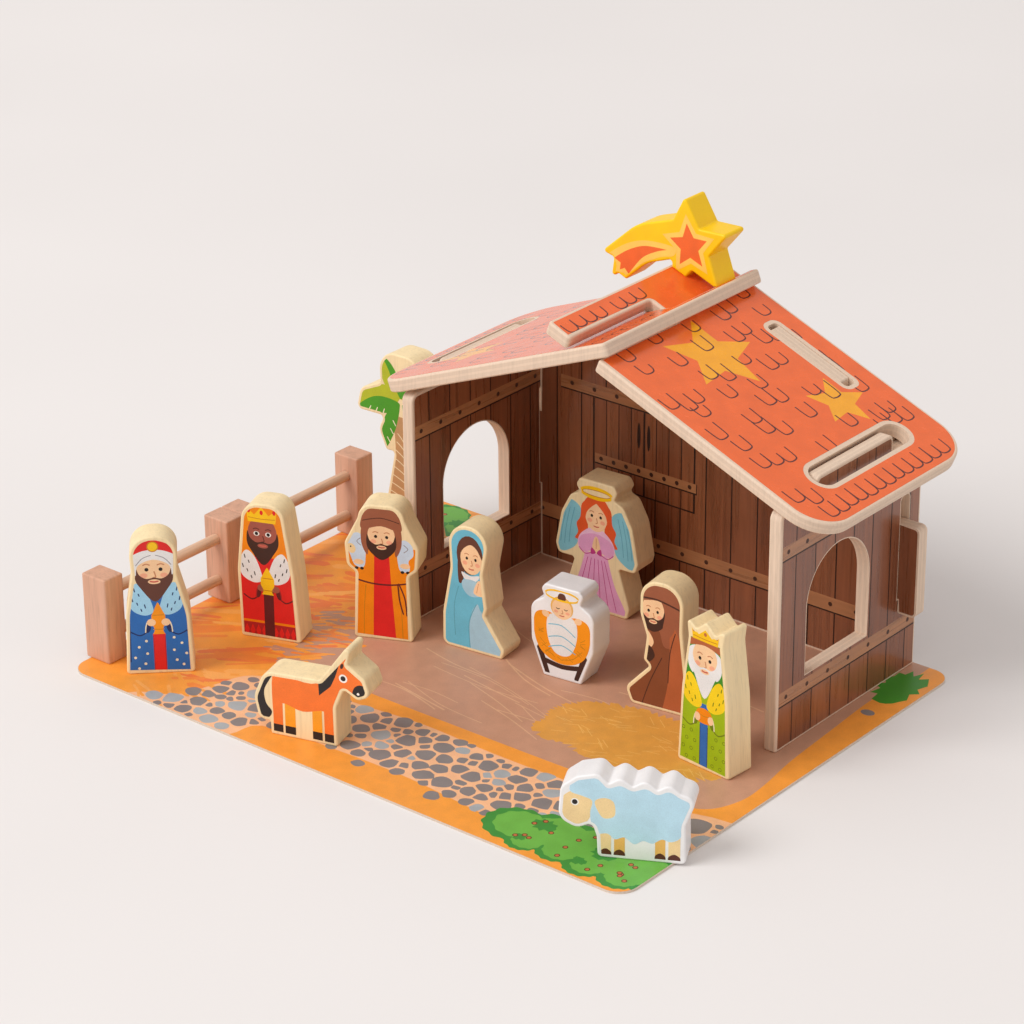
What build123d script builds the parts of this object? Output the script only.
"""Slot-together wooden nativity stable with its play mat, fences, palm and loose figures.

Millimetres, +Z up. X runs along the open front, Y from the front to the back.
The origin is the middle of the play mat's underside.
"""

import os
from math import cos, radians, sin, tan

from build123d import *

# Play mat
yard_width = 81.4
mat_depth = 230.0
mat_thickness = 1.0
mat_corner = 9.0

# Stock that the pieces are cut from
board = 6.0
block = 14.0
board_rounding = 1.0
block_rounding = 0.8
fit_gap = 0.3
seat_gap = 0.2

# Stable on the mat
stable_width = 199.0
stable_right_inset = 19.6
stable_back_inset = 1.0

# Side walls
wall_height = 107.8
wall_top_corner = 4.0
window_width = 45.0
window_height = 52.0
window_sill = 28.5
window_from_front = 19.5
side_slot_sill = 36.0
side_slot_height = 48.0
side_slot_corner = 2.5

# Tabs on top of the side walls
eave_tab_length = 55.0
eave_tab_height = 7.6
eave_tab_behind_middle = 0.5
eave_tab_corner = 3.0
eave_slot_front_slack = 1.5
eave_slot_back_slack = 8.0
eave_slot_drop = 3.0

# Back wall
back_wall_from_back = 9.0
side_tab_height = 35.5
hook_reach = 9.5
hook_drop = 6.0
hook_corner = 2.5
gable_tab_from_ridge = 30.5
gable_tab_width = 36.5
gable_tab_corner = 1.0
gable_slot_slack = 1.5
gable_slot_corner = 2.0

# Roof
roof_pitch = 21.8
roof_length = 108.0
roof_front_overhang = 1.5
roof_back_overhang = 4.5
right_eave_overhang = 22.3
left_eave_overhang = 16.3
right_ridge_rise = 20.0
left_ridge_rise = 13.0
eave_corner = 18.0
ridge_corner = 2.0
slit_corner = 1.5

# Comet star
star_radius = 22.0
star_waist = 10.4
star_tilt = 8.0
star_left_of_ridge = 6.8
star_foot_bite = 1.8
star_foot_inset = 1.5
star_from_roof_back = 12.5
star_rounding = 1.0

# Fence
post_width = 14.0
post_depth = 11.0
post_height = 40.0
rail_diameter = 5.0
rail_span = 64.0
rail_socket = 5.0
lower_rail_height = 10.0
upper_rail_height = 30.0
fence_left_overhang = 2.5
fence_front_inset = 13.0

# Figure heights
king_height = 64.5
shepherd_height = 64.2
kneeling_height = 59.2
angel_height = 62.5
manger_height = 43.6
donkey_back = 29.4
sheep_back = 32.2
palm_height = 96.0

# Room behind the angel's front
angel_from_back_wall = 30.0

# Reference places worked out from the sizes above
mat_width = yard_width + stable_width + stable_right_inset
mat_top = mat_thickness
mat_left = -mat_width / 2
mat_right = mat_width / 2
mat_front = -mat_depth / 2
mat_back = mat_depth / 2
stable_right = mat_right - stable_right_inset
stable_left = stable_right - stable_width
stable_middle = (stable_left + stable_right) / 2
wall_depth = roof_length - roof_front_overhang - roof_back_overhang
wall_back = mat_back - stable_back_inset
wall_front = wall_back - wall_depth
eave_tab_from_front = (wall_depth - eave_tab_length) / 2 + eave_tab_behind_middle
back_wall_rear = wall_back - back_wall_from_back
back_wall_front = back_wall_rear - board
wall_top = mat_top + wall_height

# Roof geometry: both slabs' middle planes cross on the ridge line
pitch = radians(roof_pitch)
half_board_up = board / 2 / cos(pitch)
half_width = stable_width / 2
ridge_z = wall_top + seat_gap + half_width * tan(pitch) + half_board_up
roof_front = wall_front - roof_front_overhang
roof_back = roof_front + roof_length
crossing_slit = board / sin(2 * pitch) + board / tan(2 * pitch) + 2 * fit_gap


def under_roof(distance):
    """Height of the roof's underside at a distance from the ridge line."""
    return ridge_z - half_board_up - distance * tan(pitch)


def over_roof(distance):
    """Height of the roof's upper side at a distance from the ridge line."""
    return ridge_z + half_board_up - distance * tan(pitch)


def down_slope(distance):
    """Length along a slab's middle plane at a distance from the ridge line."""
    return distance / cos(pitch)


def upright(x, y, turn=0.0):
    """Vertical work plane on the mat: its own X runs to the right, its own Y runs up."""
    angle = radians(turn)
    across = (cos(angle), sin(angle), 0)
    return Plane(origin=(x, y, mat_top), x_dir=across, z_dir=(sin(angle), -cos(angle), 0))


def closed_outline(corners):
    """Closed line through corners given as across, up and corner radius."""
    points = [(across, up) for across, up, _ in corners]
    return FilletPolyline(*points, radius=[radius for _, _, radius in corners], close=True)


def both_sides(right_half):
    """Outline that is the same on both sides, from its right half, bottom to top."""
    left_half = [(-across, up, radius) for across, up, radius in reversed(right_half) if across > 0]
    return right_half + left_half


def outer_edges(solid, normal):
    """Outline edges of a board's two broad faces."""
    broad = solid.faces().filter_by(Axis((0, 0, 0), normal)).sort_by(SortBy.AREA)[-2:]
    return [edge for face in broad for edge in face.outer_wire().edges()]


def write(piece, label):
    """Name a finished piece and write it to its own file."""
    piece.part.label = label
    export_step(piece.part, f"parts/{label}.step")


def cut_out(label, corners, plane):
    """Figure sawn from a thick block, standing on the mat with its front in the given plane."""
    with BuildPart() as figure:
        with BuildSketch(plane):
            with BuildLine():
                closed_outline(corners)
            make_face()
        extrude(amount=-block)
        fillet(outer_edges(figure.part, plane.z_dir), radius=block_rounding)
    write(figure, label)


def make_mat():
    """Printed card that everything stands on."""
    with BuildPart() as mat:
        with BuildSketch():
            RectangleRounded(mat_width, mat_depth, mat_corner)
        extrude(amount=mat_thickness)
    write(mat, "play_mat")


def side_wall_corners():
    """Side wall outline with its roof tab, measured from the wall's front lower corner."""
    tab_front = eave_tab_from_front
    tab_back = eave_tab_from_front + eave_tab_length
    tab_top = wall_height + eave_tab_height
    return [
        (0, 0, board_rounding),
        (wall_depth, 0, board_rounding),
        (wall_depth, wall_height, wall_top_corner),
        (tab_back, wall_height, board_rounding),
        (tab_back, tab_top, eave_tab_corner),
        (tab_front, tab_top, eave_tab_corner),
        (tab_front, wall_height, board_rounding),
        (0, wall_height, wall_top_corner),
    ]


def side_slot_corners(middle):
    """Upright slot for the back wall's tab: square at the sill, rounded at the top."""
    half = board / 2 + fit_gap
    top = side_slot_sill + side_slot_height
    return [
        (middle - half, side_slot_sill, 0),
        (middle + half, side_slot_sill, 0),
        (middle + half, top, side_slot_corner),
        (middle - half, top, side_slot_corner),
    ]


def make_side_wall(label, outer_face):
    """Plywood wall with an arched window, the back wall's slot and a tab on top."""
    arch_radius = window_width / 2
    window_middle = window_from_front + arch_radius
    arch_centre = window_sill + window_height - arch_radius
    slot_middle = (back_wall_front + back_wall_rear) / 2 - wall_front
    plane = Plane(origin=(outer_face, wall_front, mat_top), x_dir=(0, 1, 0), z_dir=(1, 0, 0))
    with BuildPart() as wall:
        with BuildSketch(plane):
            with BuildLine():
                closed_outline(side_wall_corners())
            make_face()
            with Locations((window_middle, arch_centre)):
                Circle(arch_radius, mode=Mode.SUBTRACT)
            with Locations((window_middle, (window_sill + arch_centre) / 2)):
                Rectangle(window_width, arch_centre - window_sill, mode=Mode.SUBTRACT)
            with BuildLine():
                closed_outline(side_slot_corners(slot_middle))
            make_face(mode=Mode.SUBTRACT)
        extrude(amount=-board if outer_face > stable_middle else board)
        fillet(outer_edges(wall.part, plane.z_dir), radius=board_rounding)
    write(wall, label)


def back_wall_half():
    """Right half of the gable board: hook tab through the side wall, roof slope and roof tab."""
    panel_side = half_width - board - seat_gap
    hook_inner = half_width + fit_gap
    hook_outer = half_width + hook_reach
    tab_bottom = side_slot_sill + seat_gap
    hook_bottom = tab_bottom - hook_drop
    tab_top = tab_bottom + side_tab_height
    roof_tab_outer = gable_tab_from_ridge + gable_tab_width
    small = gable_tab_corner
    return [
        (panel_side, 0, board_rounding),
        (panel_side, tab_bottom, 0),
        (hook_inner, tab_bottom, 0),
        (hook_inner, hook_bottom, small),
        (hook_outer, hook_bottom, hook_corner),
        (hook_outer, tab_top, hook_corner),
        (panel_side, tab_top, 0),
        (panel_side, under_roof(panel_side) - mat_top, small),
        (roof_tab_outer, under_roof(roof_tab_outer) - mat_top, 0),
        (roof_tab_outer, over_roof(roof_tab_outer) - mat_top - seat_gap, small),
        (gable_tab_from_ridge, over_roof(gable_tab_from_ridge) - mat_top - seat_gap, small),
        (gable_tab_from_ridge, under_roof(gable_tab_from_ridge) - mat_top, 0),
        (0, under_roof(0) - mat_top, 0),
    ]


def make_back_wall():
    """Gable board that crosses both side walls and carries the roof."""
    plane = upright(stable_middle, back_wall_front)
    with BuildPart() as wall:
        with BuildSketch(plane):
            with BuildLine():
                closed_outline(both_sides(back_wall_half()))
            make_face()
        extrude(amount=-board)
    write(wall, "back_wall")


def roof_slab_corners(ridge_rise, roof_drop):
    """Slab outline with its crossing slit open at the low Y end; X runs down the slope."""
    slit = crossing_slit / 2
    slit_end = roof_length / 2 + seat_gap
    return [
        (-ridge_rise, 0, ridge_corner),
        (-slit, 0, slit_corner),
        (-slit, slit_end, slit_corner),
        (slit, slit_end, slit_corner),
        (slit, 0, slit_corner),
        (roof_drop, 0, eave_corner),
        (roof_drop, roof_length, eave_corner),
        (-ridge_rise, roof_length, ridge_corner),
    ]


def make_roof_slab(label, side, ridge_rise, eave_overhang):
    """Roof slab on one side of the ridge (+1 right, -1 left), with slots for the walls' tabs."""
    down = (side * cos(pitch), 0, -sin(pitch))
    out = (side * sin(pitch), 0, cos(pitch))
    roof_drop = down_slope(half_width) + eave_overhang
    slit_at = roof_front if side > 0 else roof_back
    plane = Plane(origin=(stable_middle, slit_at, ridge_z), x_dir=down, z_dir=out)

    # Slot places along the slab's own Y, which runs away from its slit
    eave_slot_front = wall_front + eave_tab_from_front - eave_slot_front_slack
    eave_slot_length = eave_slot_front_slack + eave_tab_length + eave_slot_back_slack
    eave_along = abs(eave_slot_front + eave_slot_length / 2 - slit_at)
    gable_along = abs((back_wall_front + back_wall_rear) / 2 - slit_at)

    # Upright tabs lean in the slab's thickness, so their slots are that much longer
    lean = board * tan(pitch)
    eave_slot_width = down_slope(board) + lean + 2 * fit_gap + eave_slot_drop
    gable_slot_length = down_slope(gable_tab_width) + lean + 2 * gable_slot_slack
    gable_slot_width = board + 2 * fit_gap
    eave_down = down_slope(half_width - board / 2) + eave_slot_drop / 2
    gable_down = down_slope(gable_tab_from_ridge + gable_tab_width / 2)

    with BuildPart() as slab:
        with BuildSketch(plane):
            with BuildLine():
                closed_outline(roof_slab_corners(ridge_rise, roof_drop))
            make_face()
            with Locations((eave_down, eave_along)):
                SlotOverall(eave_slot_length, eave_slot_width, rotation=90, mode=Mode.SUBTRACT)
            with Locations((gable_down, gable_along)):
                RectangleRounded(
                    gable_slot_length, gable_slot_width, gable_slot_corner, mode=Mode.SUBTRACT
                )
        extrude(amount=board / 2, both=True)
        fillet(outer_edges(slab.part, plane.z_dir), radius=board_rounding)
    write(slab, label)


def star_corners(foot_side):
    """Five-pointed star with a three-tipped tail, from the star's own centre, counter-clockwise."""
    tip = 1.2
    points = []
    for step in range(10):
        angle = radians(90 + star_tilt + 36 * step)
        reach = star_radius if step % 2 == 0 else star_waist
        points.append((reach * cos(angle), reach * sin(angle), tip))
    top, right_foot = points[0], points[6]
    tail = [
        (-9.0, 10.4, 2.0),
        (-28.0, 4.2, 28.0),
        (-46.6, -12.2, tip),
        (-40.2, -13.8, tip),
        (-41.6, -23.4, tip),
        (-37.8, -20.6, tip),
        (-33.6, -22.4, tip),
        (-22.4, -12.4, 20.0),
        (foot_side, -7.6, tip),
    ]
    # Both feet are cut to length by the roof; the tail stands where the left tip would be
    left_foot = (foot_side, -star_radius, 0)
    right_foot = (right_foot[0], right_foot[1], 0)
    return [left_foot, points[5], right_foot] + points[7:] + [top] + tail


def make_star():
    """Comet star that stands astride the ridge, its left foot on the right slab's upper end."""
    foot = radians(star_tilt - 54)
    foot_from_ridge = star_radius * cos(foot) - star_left_of_ridge
    centre_up = over_roof(-foot_from_ridge) - mat_top - star_radius * sin(foot) - star_foot_bite
    edge_across = board / 2 * sin(pitch) - right_ridge_rise * cos(pitch)
    foot_side = edge_across + star_foot_inset + star_left_of_ridge
    valley = over_roof(0) - mat_top
    reach = 2 * star_radius
    plane = upright(stable_middle, roof_back - star_from_roof_back - block)
    with BuildPart() as star:
        with BuildSketch(plane):
            with BuildLine(Location((-star_left_of_ridge, centre_up))):
                closed_outline(star_corners(foot_side))
            make_face()
            # The valley between the crossing slabs, under both feet
            with BuildLine():
                Polyline(
                    (0, valley),
                    (edge_across, valley - edge_across * tan(pitch)),
                    (edge_across, valley - reach),
                    (reach, valley - reach),
                    (reach, valley + reach * tan(pitch)),
                    close=True,
                )
            make_face(mode=Mode.SUBTRACT)
        extrude(amount=-block)
        fillet(outer_edges(star.part, plane.z_dir), radius=star_rounding)
    write(star, "comet_star")


def make_fence(label, front_y):
    """Fence section: two square posts and two round rails glued into blind holes."""
    post_x = mat_left - fence_left_overhang + post_width / 2
    rear_y = front_y + post_depth + rail_span
    rails = {"lower_rail": lower_rail_height, "upper_rail": upper_rail_height}
    for name, post_front, inner_face, into in (
        ("front_post", front_y, front_y + post_depth, -rail_socket),
        ("rear_post", rear_y, rear_y, rail_socket),
    ):
        with BuildPart() as post:
            with BuildSketch(Plane.XY.offset(mat_top)):
                with Locations((post_x, post_front + post_depth / 2)):
                    Rectangle(post_width, post_depth)
            extrude(amount=post_height)
            fillet(post.edges(), radius=block_rounding)
            socket = Plane(origin=(post_x, inner_face, mat_top), x_dir=(1, 0, 0), z_dir=(0, -1, 0))
            with BuildSketch(socket):
                with Locations(*[(0, height) for height in rails.values()]):
                    Circle(rail_diameter / 2 + seat_gap / 2)
            extrude(amount=-into, mode=Mode.SUBTRACT)
        write(post, f"{label}_{name}")
    for name, height in rails.items():
        start = front_y + post_depth - rail_socket
        plane = Plane(origin=(post_x, start, mat_top + height), x_dir=(1, 0, 0), z_dir=(0, 1, 0))
        with BuildPart() as rail:
            with BuildSketch(plane):
                Circle(rail_diameter / 2)
            extrude(amount=rail_span + 2 * rail_socket)
        write(rail, f"{label}_{name}")


def make_fences():
    """Two equal sections, end to end along the mat's left edge."""
    first = mat_front + fence_front_inset
    second = first + 2 * post_depth + rail_span + seat_gap
    make_fence("front_fence", first)
    make_fence("rear_fence", second)


def make_palm():
    """Palm with a flared foot, a top tuft and four drooping fronds."""
    height = palm_height
    half = [
        (15.0, 0, 1.5),
        (8.0, height - 64.0, 30.0),
        (4.6, height - 48.0, 1.5),
        (9.6, height - 48.5, 2.0),
        (14.0, height - 39.0, 6.0),
        (10.5, height - 32.0, 1.5),
        (27.2, height - 32.5, 2.5),
        (24.4, height - 21.5, 6.0),
        (12.4, height - 16.0, 2.0),
        (12.8, height, 9.5),
    ]
    cut_out("palm_tree", both_sides(half), upright(mat_left + 35.3, mat_front + 178.7))


def make_kings():
    """Three standing kings in long robes."""
    top = king_height
    turban = [
        (14.6, 0, 1.5),
        (13.4, 28.0, 30.0),
        (8.8, top - 18.0, 6.0),
        (9.6, top, 8.8),
        (-11.4, top, 9.4),
        (-10.4, top - 18.0, 6.0),
        (-13.6, 28.0, 30.0),
        (-14.6, 0, 1.5),
    ]
    veil = [
        (14.0, 0, 1.5),
        (11.6, 32.0, 30.0),
        (7.0, top, 7.2),
        (-11.4, top, 8.6),
        (-14.8, 32.0, 30.0),
        (-14.0, 0, 1.5),
    ]
    crown = [
        (14.0, 0, 1.5),
        (12.4, 34.0, 30.0),
        (9.2, top - 7.0, 8.0),
        (10.2, top + 1.4, 1.2),
        (5.0, top - 2.4, 1.2),
        (0, top + 2.0, 1.2),
    ]
    cut_out("blue_king", turban, upright(mat_left + 34.2, mat_front + 21.6, 44.0))
    cut_out("red_king", veil, upright(mat_left + 49.6, mat_front + 74.1, 21.0))
    cut_out("green_king", both_sides(crown), upright(stable_right - 15.2, wall_front - 28.8, -5.0))


def make_shepherd():
    """Shepherd with a lamb across the shoulders."""
    top = shepherd_height
    half = [
        (13.3, 0, 1.5),
        (12.2, 31.5, 2.0),
        (16.0, 34.5, 4.0),
        (16.8, 45.0, 5.0),
        (10.6, top - 7.0, 8.0),
        (9.2, top, 7.0),
    ]
    cut_out("shepherd", both_sides(half), upright(stable_left + 6.5, wall_front - 22.5, 25.0))


def make_mother():
    """Kneeling mother, facing right, with her skirt spread out on that side."""
    top = kneeling_height
    corners = [
        (14.6, 0, 1.2),
        (16.2, 4.0, 2.5),
        (6.4, 18.6, 1.2),
        (7.4, 22.0, 2.0),
        (5.4, 37.5, 7.0),
        (9.6, top, 9.0),
        (-12.4, top, 9.8),
        (-11.2, 38.0, 15.0),
        (-15.4, 16.0, 25.0),
        (-15.6, 0, 3.5),
    ]
    cut_out("kneeling_mother", corners, upright(stable_left + 44.3, wall_front - 7.2, 7.0))


def make_father():
    """Kneeling father, facing left, with his robe spread out on that side."""
    top = kneeling_height
    corners = [
        (14.0, 0, 2.0),
        (14.2, 16.0, 20.0),
        (11.6, 38.0, 30.0),
        (12.0, top, 9.5),
        (-8.6, top, 8.8),
        (-8.6, 43.0, 8.0),
        (-5.4, 33.0, 6.0),
        (-6.8, 22.0, 2.0),
        (-4.0, 19.4, 1.2),
        (-15.4, 7.0, 4.0),
        (-12.6, 0, 3.0),
    ]
    cut_out("kneeling_father", corners, upright(stable_left + 138.4, wall_front + 0.2, 8.0))


def make_angel():
    """Angel with spread wings, a flared dress and a halo over the head."""
    top = angel_height
    half = [
        (16.4, 0, 2.0),
        (17.4, 5.0, 3.0),
        (11.6, 23.4, 1.2),
        (20.4, 23.4, 2.5),
        (21.8, 28.0, 3.0),
        (18.8, 44.0, 12.0),
        (13.8, top - 9.0, 5.0),
        (9.0, top - 7.0, 1.2),
        (10.8, top - 3.4, 1.8),
        (9.0, top, 2.4),
    ]
    front = back_wall_front - angel_from_back_wall
    cut_out("angel", both_sides(half), upright(stable_left + 61.6, front, 4.0))


def make_manger():
    """Manger with the child, on a narrow foot, a halo over the head."""
    top = manger_height
    half = [
        (9.3, 0, 1.2),
        (15.4, 16.0, 8.0),
        (15.6, 33.0, 6.0),
        (8.8, top - 6.6, 1.5),
        (10.4, top - 2.6, 2.0),
        (8.4, top, 2.0),
    ]
    cut_out("manger", both_sides(half), upright(stable_left + 90.6, wall_front - 3.5, 7.0))


def make_donkey():
    """Donkey facing right, its tail against the hind leg."""
    back = donkey_back
    corners = [
        (15.2, 0, 1.0),
        (15.2, 18.0, 6.0),
        (18.8, back - 2.4, 1.2),
        (25.0, back - 6.2, 3.0),
        (30.8, back - 3.4, 3.5),
        (28.4, back + 4.0, 4.0),
        (20.8, back + 9.4, 1.2),
        (22.2, back + 16.4, 1.4),
        (19.4, back + 16.0, 1.2),
        (8.0, back, 2.0),
        (-17.6, back - 0.8, 6.5),
        (-22.8, 16.0, 8.0),
        (-20.6, 6.0, 3.5),
        (-15.4, 6.0, 1.0),
        (-15.2, 0, 1.0),
    ]
    cut_out("donkey", corners, upright(mat_left + 122.2, mat_front + 15.7, 16.0))


def make_sheep():
    """Sheep facing left, with a scalloped fleece along its back."""
    back = sheep_back
    corners = [
        (18.8, 0, 2.0),
        (18.4, 17.0, 4.0),
        (22.8, back - 3.4, 4.0),
        (16.4, back - 1.4, 0.9),
        (12.0, back + 2.2, 3.0),
        (7.4, back - 0.6, 0.9),
        (2.6, back + 3.0, 3.0),
        (-2.2, back, 0.9),
        (-7.0, back + 3.4, 3.0),
        (-11.6, back + 0.4, 0.9),
        (-15.6, back + 4.4, 3.5),
        (-24.0, back + 2.4, 4.0),
        (-30.4, back - 2.6, 5.0),
        (-31.4, 15.6, 6.0),
        (-24.0, 11.8, 5.0),
        (-18.0, 14.6, 2.0),
        (-16.2, 9.0, 2.0),
        (-15.8, 0, 2.0),
    ]
    cut_out("sheep", corners, upright(mat_right - 11.9, mat_front + 24.8, 28.0))


os.makedirs("parts", exist_ok=True)
make_mat()
make_side_wall("left_wall", stable_left)
make_side_wall("right_wall", stable_right)
make_back_wall()
make_roof_slab("right_roof", 1, right_ridge_rise, right_eave_overhang)
make_roof_slab("left_roof", -1, left_ridge_rise, left_eave_overhang)
make_star()
make_fences()
make_palm()
make_kings()
make_shepherd()
make_mother()
make_father()
make_angel()
make_manger()
make_donkey()
make_sheep()
